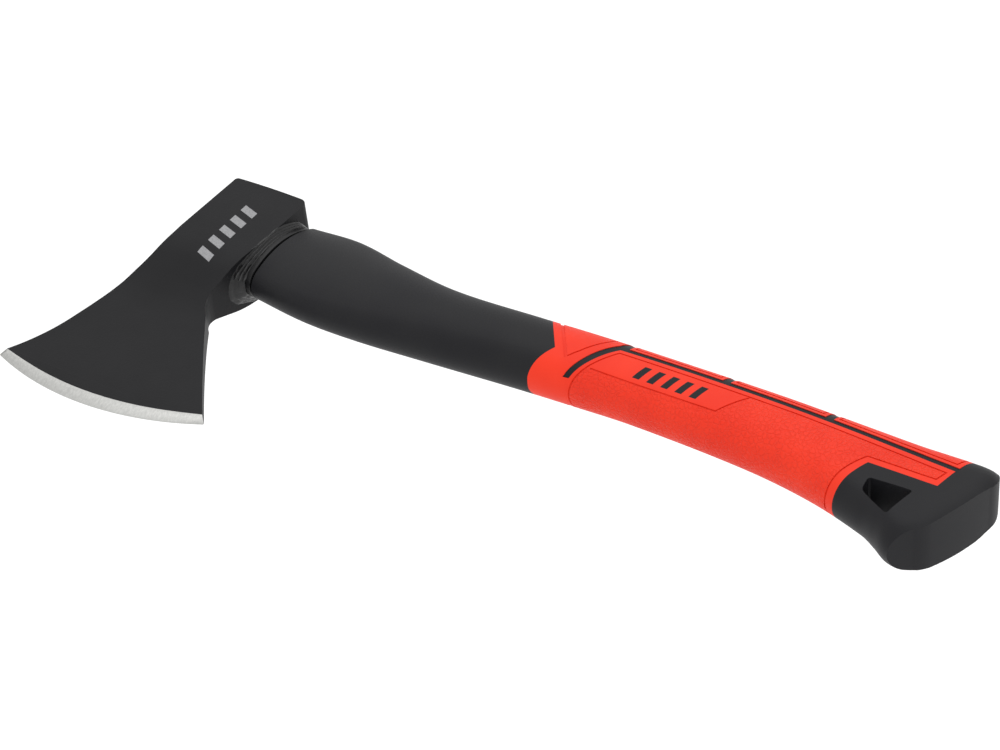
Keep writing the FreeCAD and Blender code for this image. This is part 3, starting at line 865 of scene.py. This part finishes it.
def head_blank():
    """The head without its eye: a coated sheet with a ground rim, raised and doubled."""
    bm = bmesh.new()
    grind = grind_line()
    front = [p for p in front_line if (p - TOE).length > GRIND_END + TOE_GAP]
    back = back_line[1:] if (back_line[1] - HEEL).length > GRIND_END else back_line[2:]
    verts = [bm.verts.new((p.x, p.y, 0.0)) for p in front + grind + back]
    bm.faces.new(verts)
    inner = verts[len(front):len(front) + len(grind)]
    edges = [bm.edges.get(pair) for pair in zip(inner, inner[1:])]
    made = bmesh.ops.extrude_edge_only(bm, edges=edges)["geom"]
    fresh = {v for v in made if isinstance(v, bmesh.types.BMVert)}
    edge_verts = set()
    for vert, point in zip(inner, edge_line):
        outer = next(e.other_vert(vert) for e in vert.link_edges if e.other_vert(vert) in fresh)
        outer.co = (point.x, point.y, 0.0)
        edge_verts.add(outer)
    for face in made:
        if isinstance(face, bmesh.types.BMFace):
            face.material_index = GROUND
    y = POLL_Y - SLICE
    while y > -WEDGE_FOOT:
        coated = [f for f in bm.faces if f.material_index == COATED]
        edges = list({edge for face in coated for edge in face.edges})
        corners = list({vert for face in coated for vert in face.verts})
        bmesh.ops.bisect_plane(bm, geom=coated + edges + corners, dist=SNAP,
                               plane_co=(0, y, 0), plane_no=(0, 1, 0))
        y -= SLICE
    for vert in bm.verts:
        vert.co.z = EDGE_HALF if vert in edge_verts else cheek_height(vert.co.y)
    made = bmesh.ops.extrude_face_region(bm, geom=list(bm.faces), use_keep_orig=True)["geom"]
    for item in made:
        if isinstance(item, bmesh.types.BMVert):
            item.co.z *= -1
    bmesh.ops.recalc_face_normals(bm, faces=bm.faces)
    return bm


bm = head_blank()
open_edges = sum(1 for edge in bm.edges if not edge.is_manifold)
print("head before the eye:", len(bm.faces), "faces, open edges:", open_edges)
head = to_object(bm, "forged_head")
head.data.materials.append(black_coating())
head.data.materials.append(ground_steel())

# %% [markdown]
# The eye is punched through the hot block, and here one oval block is cut out of the head. Forging
# leaves soft rims where two faces meet. A bevel gives them, wider where the metal is thick, so every
# edge sharp enough to count as a rim gets its share of the width as a weight.

# %% The eye and the soft rims
EYE_SECTION = (19.0, -15.5, 8.2, 6.0)
EYE_PAST = 6.0                       # mm that the cutter runs past the head
CREASE = math.radians(35.0)          # an edge that turns further than this is a rim
RIM_ROUND = 2.2                      # mm, the soft edge that forging leaves, at a weight of 1
THIN = 2.0                           # mm half thickness, at and below which a rim stays sharp
RIM_LEAST, RIM_MOST, RIM_SPAN = 0.12, 0.5, 7.0
POLL_RIM, EYE_RIM = 1.0, 0.3         # weights behind the eye and round its mouths
POLL_RIM_X = 14.0                    # mm, where the poll's rear rims begin
TOUCH = 0.1                          # mm
boolean(head, "DIFFERENCE", oval_block("eye_cutter", -POLL_X - EYE_PAST, POLL_X + EYE_PAST, *EYE_SECTION))


def weigh_rims(obj):
    """Marks the edges that get a soft bevel, less of it where the blade is thin."""
    bm = bmesh.new()
    bm.from_mesh(obj.data)
    weight = bm.edges.layers.float.new("bevel_weight_edge")
    far, near, half, _ = EYE_SECTION
    for edge in bm.edges:
        ends = [(vert.co - EYE) / MM for vert in edge.verts]
        thickness = max(abs(end.z) for end in ends)
        middle = (ends[0] + ends[1]) / 2
        if edge.calc_face_angle(0.0) > CREASE and thickness > THIN:
            edge[weight] = min(RIM_MOST, RIM_LEAST + (RIM_MOST - RIM_LEAST) * (thickness - THIN) / RIM_SPAN)
            if middle.x > POLL_RIM_X and middle.y > SEAT[1]:
                edge[weight] = POLL_RIM
        inside_eye = all(abs(end.z) < half + TOUCH and near - TOUCH < end.y < far + TOUCH for end in ends)
        if edge[weight] > 0 and inside_eye:
            edge[weight] = EYE_RIM
    bm.to_mesh(obj.data)
    bm.free()


def soften(obj, width):
    """A bevel; shading is then weighed by area, so that large faces stay even."""
    obj.data.shade_smooth()
    bevel = obj.modifiers.new("soft_rims", "BEVEL")
    bevel.width = width * MM
    bevel.segments = 3
    bevel.profile = 0.5
    bevel.limit_method = "WEIGHT"
    bevel.use_clamp_overlap = True
    return even_shading(obj)


weigh_rims(head)
soften(head, RIM_ROUND)
print("head:", len(head.data.polygons), "faces")

# %% [markdown]
# ## The printed mark
# The head carries a plain printed mark: a row of slanted bars, like the ones in the grip. Ink has
# next to no thickness, so the bars stand only a few hundredths of a millimetre proud, and they
# follow the cheek where it begins to fall away.

# %% Printed bars
MARK_FIRST_Y, MARK_PITCH, MARK_WIDTH, MARK_SLANT = -22.6, 7.5, 3.8, 2.6
MARK_LOW_X, MARK_HIGH_X = -2.4, 5.4
INK_PROUD = 0.05      # mm above the cheek
INK_BLOCK = 0.25      # mm from the top of a bar to its hidden underside
INK_SNAP = 0.001      # mm


def printed_bars(name, count):
    """Slanted bars in a row, cut into strips that follow the cheek."""
    bm = bmesh.new()
    for number in range(count):
        low = MARK_FIRST_Y + number * MARK_PITCH
        corners = ((MARK_HIGH_X, low), (MARK_HIGH_X, low + MARK_WIDTH),
                   (MARK_LOW_X, low + MARK_WIDTH + MARK_SLANT), (MARK_LOW_X, low + MARK_SLANT))
        bm.faces.new([bm.verts.new((x, y, 0.0)) for x, y in corners])
    y = MARK_FIRST_Y
    while y < -WEDGE_TOP + SLICE:
        bmesh.ops.bisect_plane(bm, geom=bm.verts[:] + bm.edges[:] + bm.faces[:], dist=INK_SNAP,
                               plane_co=(0, y, 0), plane_no=(0, 1, 0))
        y += SLICE / 3
    for vert in bm.verts:
        vert.co.z = cheek_height(vert.co.y) + INK_PROUD
    made = bmesh.ops.extrude_face_region(bm, geom=list(bm.faces), use_keep_orig=True)["geom"]
    sunk = [item for item in made if isinstance(item, bmesh.types.BMVert)]
    bmesh.ops.translate(bm, vec=(0, 0, -INK_BLOCK), verts=sunk)
    bmesh.ops.recalc_face_normals(bm, faces=bm.faces)
    return to_object(bm, name)


mark = printed_bars("printed_bars", BAR_COUNT)
print("printed bars:", len(mark.data.polygons), "faces")

# %% [markdown]
# ## Resin, bead and collar
# The handle is held in the eye by cast epoxy. Some of it squeezes out between the head and the
# rubber collar and sets as a glossy, wrinkled bead. Rings again: each piece is a closed band of
# rings, out along its skin and back along the rod that runs through it.

# %% Bands of rings
CORE_SECTION = (12.0, -8.6, 5.4, 4.2)
COLLAR_SECTION = (22.3, -19.3, 10.9, 7.6)
FOOT_SECTION = (23.4, -26.5, 13.9, 10.0)    # of the resin where it meets the head
COLLAR_GAP = 1.2                            # mm between the collar and the jacket's shoulder
COLLAR_END = 19.0                           # x where the collar's bore ends, inside the head
COLLAR_EDGE = ((0.7, 0.0), (0.25, 0.15), (0.05, 0.5), (0.0, 1.4))   # mm ahead of the end, mm further in


def end_face(y):
    """Where the head's end face stands at y: square over the eye, then away to the throat."""
    if y >= SEAT[1]:
        return SEAT[0] + (POLL_REAR[0] - SEAT[0]) * (y - SEAT[1]) / (POLL_REAR[1] - SEAT[1])
    return SEAT[0] + (SEAT[0] - THROAT[0]) * (y - SEAT[1]) / (SEAT[1] - THROAT[1])


def shoulder(y):
    """Where the jacket's leaning shoulder stands at y."""
    return HANDLE_START + NECK_LEAN * y


def band(rings):
    """A closed band: rings of (x of each point by y, section), and the last joined to the first."""
    bm = bmesh.new()
    first = bmesh.ops.create_circle(bm, segments=RING_POINTS, radius=1.0, cap_ends=False)["verts"]
    verts = first
    for number, (x, (far, near, half, corner)) in enumerate(rings):
        if number:
            verts = next_ring(bm, verts)
        place_ring(verts, (0.0, far), (0.0, near), half, corner)
        for vert in verts:
            vert.co.x = x(vert.co.y) if callable(x) else x
    loops = [bm.edges.get(pair) for ring in (first, verts) for pair in zip(ring, ring[1:] + ring[:1])]
    bmesh.ops.bridge_loops(bm, edges=loops)
    bmesh.ops.recalc_face_normals(bm, faces=bm.faces)
    return bm


def collar_rings():
    """Out of the resin, over the collar's round back edge, and down into the gap."""
    rings = [(lambda y: end_face(y) + 0.3, shrunk(COLLAR_SECTION, 0.4)),
             (lambda y: (end_face(y) + shoulder(y) - COLLAR_GAP) / 2, shrunk(COLLAR_SECTION, -0.1))]
    for ahead, inset in COLLAR_EDGE:
        rings.append((lambda y, a=ahead: shoulder(y) - COLLAR_GAP - a, shrunk(COLLAR_SECTION, inset)))
    gap_floor = [(shoulder, shrunk(COLLAR_SECTION, 1.5)), (shoulder, CORE_SECTION)]
    return rings + gap_floor + [(COLLAR_END, CORE_SECTION)]


collar = to_object(band(collar_rings()), "rubber_collar")
print("collar:", len(collar.data.polygons), "faces")

# %% [markdown]
# The bead is squeezed out in ridges that follow the rim of the eye, and sags towards the blade. Its
# rings swell and shrink to make the ridges. Slow noise then pushes the points about, more on the
# bit side, and the cheek's height holds the bead down, because it was wiped off level with the head.

# %% The ridged bead
BEAD_RINGS = 28
RIDGES, RIDGE_HEIGHT = 3.5, 0.42     # how many ridges follow the rim, and how far each stands proud
BEAD_CLIMB = 0.55                    # how far up the collar it reaches
BEAD_ROOT = 0.35                     # mm that it starts inside the head
BEAD_HOLLOW = 0.8                    # below 1, it draws in quickly from the head
BEAD_BORE = (20.6, 17.6)             # x of the two ends of the bore
SKIN_REACH = 12.0                    # points nearer to the middle than this belong to the bore
LUMPS = 0.4                          # lumps per mm, roughly
LUMP_LEAST, LUMP_MORE = 0.15, 0.4    # mm on the poll side, and more on the bit side
NOISE_SHIFT = Vector((7.0, 0.0, 3.0))


def blend(start, end, share):
    """A section part of the way from one to another."""
    return tuple(a + (b - a) * share for a, b in zip(start, end))


def bead_front(y, share):
    """From just inside the head's end face to part of the way up the collar."""
    top = end_face(y) + BEAD_CLIMB * (shoulder(y) - COLLAR_GAP - end_face(y))
    return end_face(y) - BEAD_ROOT + (top - end_face(y) + BEAD_ROOT) * share


def bead_rings():
    """Ridged rings from the head to the collar, and back along the rod."""
    rings = []
    for step in range(BEAD_RINGS + 1):
        share = step / BEAD_RINGS
        ridge = RIDGE_HEIGHT * abs(math.sin(math.pi * RIDGES * share)) * (1 - 0.5 * share)
        section = blend(FOOT_SECTION, COLLAR_SECTION, share ** BEAD_HOLLOW)
        rings.append((lambda y, s=share: bead_front(y, s), shrunk(section, -ridge)))
    return rings + [(x, CORE_SECTION) for x in BEAD_BORE]


def ruffle(vert):
    """Moves a point of the bead's skin in and out on slow noise. The bore stays round."""
    outward = Vector((0.0, vert.co.y - 1.0, vert.co.z * 2.0))
    if outward.length < SKIN_REACH:
        return
    outward.normalize()
    bit_side = max(0.0, min(1.0, (4.0 - vert.co.y) / 18.0))
    lump = noise.noise(vert.co * LUMPS + NOISE_SHIFT) * (LUMP_LEAST + LUMP_MORE * bit_side)
    vert.co += outward * (lump - 0.1)
    vert.co.x += noise.noise(vert.co * LUMPS) * 0.2
    limit = cheek_height(vert.co.y) + 0.1 + 0.25 * noise.noise(vert.co * 0.9)
    vert.co.z = max(-limit, min(limit, vert.co.z))


bm = band(bead_rings())
for vert in bm.verts:
    ruffle(vert)
bead = to_object(bm, "squeezed_bead")
print("bead:", len(bead.data.polygons), "faces")

# %% [markdown]
# ## The top of the eye
# At the top of the head the epoxy stands a little below the rim and climbs its wall, as a liquid
# does before it sets. The sawn end of the glass fibre rod shows in the middle of it.

# %% The fill at the top of the eye, and the rod in it
RESIN_RECESS = 0.8     # mm below the top of the head
MENISCUS = 0.5         # mm that it climbs at the wall
bm = bmesh.new()
first = bmesh.ops.create_circle(bm, segments=RING_POINTS, radius=1.0, cap_ends=False)["verts"]
place_ring(first, (POLL_X, EYE_SECTION[0]), (POLL_X, EYE_SECTION[1]), *EYE_SECTION[2:])
verts = first
for x, inset in ((-POLL_X + RESIN_RECESS - MENISCUS, 0.0), (-POLL_X + RESIN_RECESS - 0.2, 0.5),
                 (-POLL_X + RESIN_RECESS, 1.6), (-POLL_X + RESIN_RECESS, 3.0)):
    verts = next_ring(bm, verts)
    far, near, half, corner = shrunk(EYE_SECTION, inset)
    place_ring(verts, (x, far), (x, near), half, corner)
bmesh.ops.contextual_create(bm, geom=first)
bmesh.ops.contextual_create(bm, geom=verts)
bmesh.ops.recalc_face_normals(bm, faces=bm.faces)
resin = to_object(bm, "cast_resin")
core_low, core_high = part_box("core_rod")
rod = oval_block("glass_fibre_rod", (core_low.x - EYE.x) / MM, (core_high.x - EYE.x) / MM, *CORE_SECTION)
boolean(resin, "DIFFERENCE", rod, keep=True)
for piece in (head, collar, bead, resin, rod):
    copy = bmesh.new()
    copy.from_mesh(piece.data)
    print(piece.name, "open edges:", sum(1 for edge in copy.edges if not edge.is_manifold))
    copy.free()


# %% [markdown]
# ## The other finishes
# Ink, resin, rubber and plastic are made in the same way: a pattern of the right size, two tones close
# together, a roughness, and, on all but the ink, a fine relief. The ink is pad printed, so it covers a
# little unevenly.

# %% Printed ink
def printed_ink():
    """Pad-printed light grey ink: matte, slightly uneven in cover."""
    material, tree, shader = new_material("pad_printed_ink")
    cover = grain(tree, object_coordinates(tree), 0.8, detail=3.0)
    two_tones(tree, shader, cover, (0.25, "#747476"), (0.6, "#8C8C8E"))
    shader.inputs["Roughness"].default_value = 0.6
    return material


# %% [markdown]
# Epoxy sets as smooth as glass. It is the glossiest thing on the tool, and slow waves in its skin
# break up the reflections. The same material serves the bead and the fill at the top of the eye.

# %% Epoxy
def cast_epoxy():
    """Black-filled epoxy that set where it ran: glossy, with soft waves."""
    material, tree, shader = new_material("squeezed_epoxy")
    place = object_coordinates(tree)
    two_tones(tree, shader, grain(tree, place, 5.0), (0.4, "#0B0B0C"), (0.7, "#131314"))
    shader.inputs["Roughness"].default_value = 0.2
    shader.inputs["Specular IOR Level"].default_value = 0.35
    waves = bump(tree, grain(tree, place, 1.6).outputs["Fac"], 0.12)
    tree.links.new(waves, shader.inputs["Normal"])
    return material


# %% [markdown]
# The collar is a cut length of extruded rubber. Its satin skin sits between the glossy resin and the
# matte plastic, and that small step is what makes it read as a separate piece.

# %% Collar rubber
def collar_rubber():
    """Extruded black rubber: satin, with a very fine skin."""
    material, tree, shader = new_material("satin_collar_rubber")
    place = object_coordinates(tree)
    two_tones(tree, shader, grain(tree, place, 3.0), (0.4, "#121213"), (0.65, "#161617"))
    shader.inputs["Roughness"].default_value = 0.38
    shader.inputs["Specular IOR Level"].default_value = 0.25
    skin = bump(tree, grain(tree, place, 0.7).outputs["Fac"], 0.04)
    tree.links.new(skin, shader.inputs["Normal"])
    return material


# %% [markdown]
# A mould is often spark eroded, which leaves a fine even grain that hides flow marks. So the jacket
# is matte, and its grain is much smaller than the slow patches in its colour.

# %% Jacket plastic
def jacket_plastic():
    """Black polypropylene moulded on a spark-eroded tool: matte, with a fine even grain."""
    material, tree, shader = new_material("spark_grained_polypropylene")
    place = object_coordinates(tree)
    patches = grain(tree, place, 30.0)
    two_tones(tree, shader, patches, (0.35, "#17171A"), (0.65, "#1B1B1D"))
    shader.inputs["Roughness"].default_value = 0.5
    shader.inputs["Specular IOR Level"].default_value = 0.17
    sparks = bump(tree, grain(tree, place, 0.55, detail=3.0).outputs["Fac"], 0.05)
    tree.links.new(sparks, shader.inputs["Normal"])
    return material


# %% [markdown]
# The grip is one red rubber in two textures. Round cells from a Voronoi pattern make the leather-like
# pebbles of the palm: the distance to a cell's border, rounded off, is the height of one pebble.

# %% Grip rubber, smooth and pebbled
PEBBLE_SIZE = 2.0     # mm across one pebble of the palm
PEBBLE_HEIGHT = 0.2   # mm
PEBBLE_SEAM = 0.22    # how much of a cell its rounded border takes


def grip_rubber(pebbled):
    """Red thermoplastic rubber: satin where smooth, and a leather-like grain in the palm."""
    material, tree, shader = new_material("pebbled_red_tpr" if pebbled else "smooth_red_tpr")
    place = object_coordinates(tree)
    two_tones(tree, shader, grain(tree, place, 20.0), (0.35, "#D92E18"), (0.65, "#E0341C"))
    shader.inputs["Roughness"].default_value = 0.5
    shader.inputs["Specular IOR Level"].default_value = 0.18
    fine = bump(tree, grain(tree, place, 0.5, detail=2.0).outputs["Fac"], 0.04)
    if pebbled:
        cells = add_node(tree, "ShaderNodeTexVoronoi", {"feature": "DISTANCE_TO_EDGE"},
                         {"Vector": place, "Scale": 1.0 / (PEBBLE_SIZE * MM), "Randomness": 0.9})
        dome = add_node(tree, "ShaderNodeMapRange", {"interpolation_type": "SMOOTHSTEP"},
                        {"Value": cells.outputs["Distance"], "From Max": PEBBLE_SEAM})
        fine = bump(tree, dome.outputs["Result"], PEBBLE_HEIGHT, normal=fine)
    tree.links.new(fine, shader.inputs["Normal"])
    return material


# %% [markdown]
# Glass fibre rod is pulled through a die, so all its fibres run along it. Sawn across, it shows amber
# resin speckled with pale fibre ends.

# %% The rod's cut end
def cut_glass_fibre():
    """A pultruded glass fibre rod, sawn across: amber resin with pale fibre ends."""
    material, tree, shader = new_material("sawn_glass_fibre")
    fibres = grain(tree, object_coordinates(tree), 0.4, detail=2.0)
    two_tones(tree, shader, fibres, (0.35, "#8C7A4A"), (0.65, "#CDBF8E"))
    shader.inputs["Roughness"].default_value = 0.6
    tree.links.new(bump(tree, fibres.outputs["Fac"], 0.08), shader.inputs["Normal"])
    return material


# %% [markdown]
# ## Dressing the pieces
# Each piece now gets its finish and a parent on the tool's one body, and the imported solid that it
# stands for is hidden. On the sleeve the pebbled finish goes to the faces inside the palm's line, except in
# the label field, where the rubber is smooth. The head already has its two finishes.

# %% Dress the pieces
rubber_smooth, rubber_pebbled = grip_rubber(False), grip_rubber(True)
epoxy, plastic = cast_epoxy(), jacket_plastic()
sleeve = grip_pieces["grip_sleeve"]
palm = outline(PALM_LINE)
label = [Vector(p[:2]) for p in LABEL_LINE] + [Vector((244.0, OVER)), Vector((150.0, OVER))]
sleeve.data.materials.clear()
sleeve.data.materials.append(rubber_smooth)
sleeve.data.materials.append(rubber_pebbled)
for face in sleeve.data.polygons:
    point = (face.center - EYE).xy / MM
    face.material_index = int(inside(point, palm) and not inside(point, label))
finish_piece(head, None, ["axe_head"], smooth_angle=None)
finish_piece(mark, printed_ink())
finish_piece(rod, cut_glass_fibre(), ["core_rod"])
finish_piece(resin, epoxy, ["eye_resin"])
finish_piece(bead, epoxy, ["resin_bead"])
finish_piece(collar, collar_rubber(), ["sealing_collar"])
finish_piece(jacket, plastic, ["handle_jacket"])
finish_piece(sleeve, None, ["grip_sleeve"])
for name in PAD_NAMES:
    finish_piece(grip_pieces[name], rubber_smooth, [name])


# %% [markdown]
# ## The studio
# A white floor, a white sky and large soft lamps give the even light of a product picture. The floor
# lies well below the tool, so that no shadow of it reaches the picture.

# %% Floor, sky and lamps
FLOOR_HALF = 3.0       # m from its middle to its rim
FLOOR_DROP = 0.35      # m below the tool
SKY_STRENGTH = 1.05


def lamp(name, place, aim, size, power):
    """A square soft lamp at place, in metres, turned to its aim."""
    data = bpy.data.lights.new(name, "AREA")
    data.shape = "SQUARE"
    data.size = size
    data.energy = power
    obj = bpy.data.objects.new(name, data)
    bpy.context.scene.collection.objects.link(obj)
    obj.location = place
    obj.rotation_euler = (Vector(aim) - Vector(place)).to_track_quat("-Z", "Y").to_euler()
    return obj


bm = bmesh.new()
bmesh.ops.create_grid(bm, x_segments=1, y_segments=1, size=FLOOR_HALF)
floor_mesh = bpy.data.meshes.new("studio_floor")
bm.to_mesh(floor_mesh)
bm.free()
floor = bpy.data.objects.new("studio_floor", floor_mesh)
bpy.context.scene.collection.objects.link(floor)
paper, tree, shader = new_material("white_paper_sweep")
two_tones(tree, shader, grain(tree, object_coordinates(tree), 4.0), (0.3, "#F4F4F4"), (0.7, "#F8F8F8"))
shader.inputs["Roughness"].default_value = 0.9
shader.inputs["Specular IOR Level"].default_value = 0.1
floor.data.materials.append(paper)
floor.location.z = -FLOOR_DROP

world = bpy.data.worlds.new("white_sky")
bpy.context.scene.world = world
world.use_nodes = True
sky = world.node_tree.nodes["Background"]
sky.inputs["Color"].default_value = (1.0, 1.0, 1.0, 1.0)
sky.inputs["Strength"].default_value = SKY_STRENGTH
middle = (0.0, 0.0, 0.0)
lamp("overhead_softbox", (-0.3, 0.5, 1.6), middle, 1.4, 9.0)
lamp("front_softbox", (1.1, -1.0, 0.9), middle, 1.0, 3.5)
bpy.context.scene.view_settings.view_transform = "Standard"
print("floor at, m:", floor.location.z, "lamps:", len(bpy.data.lights))
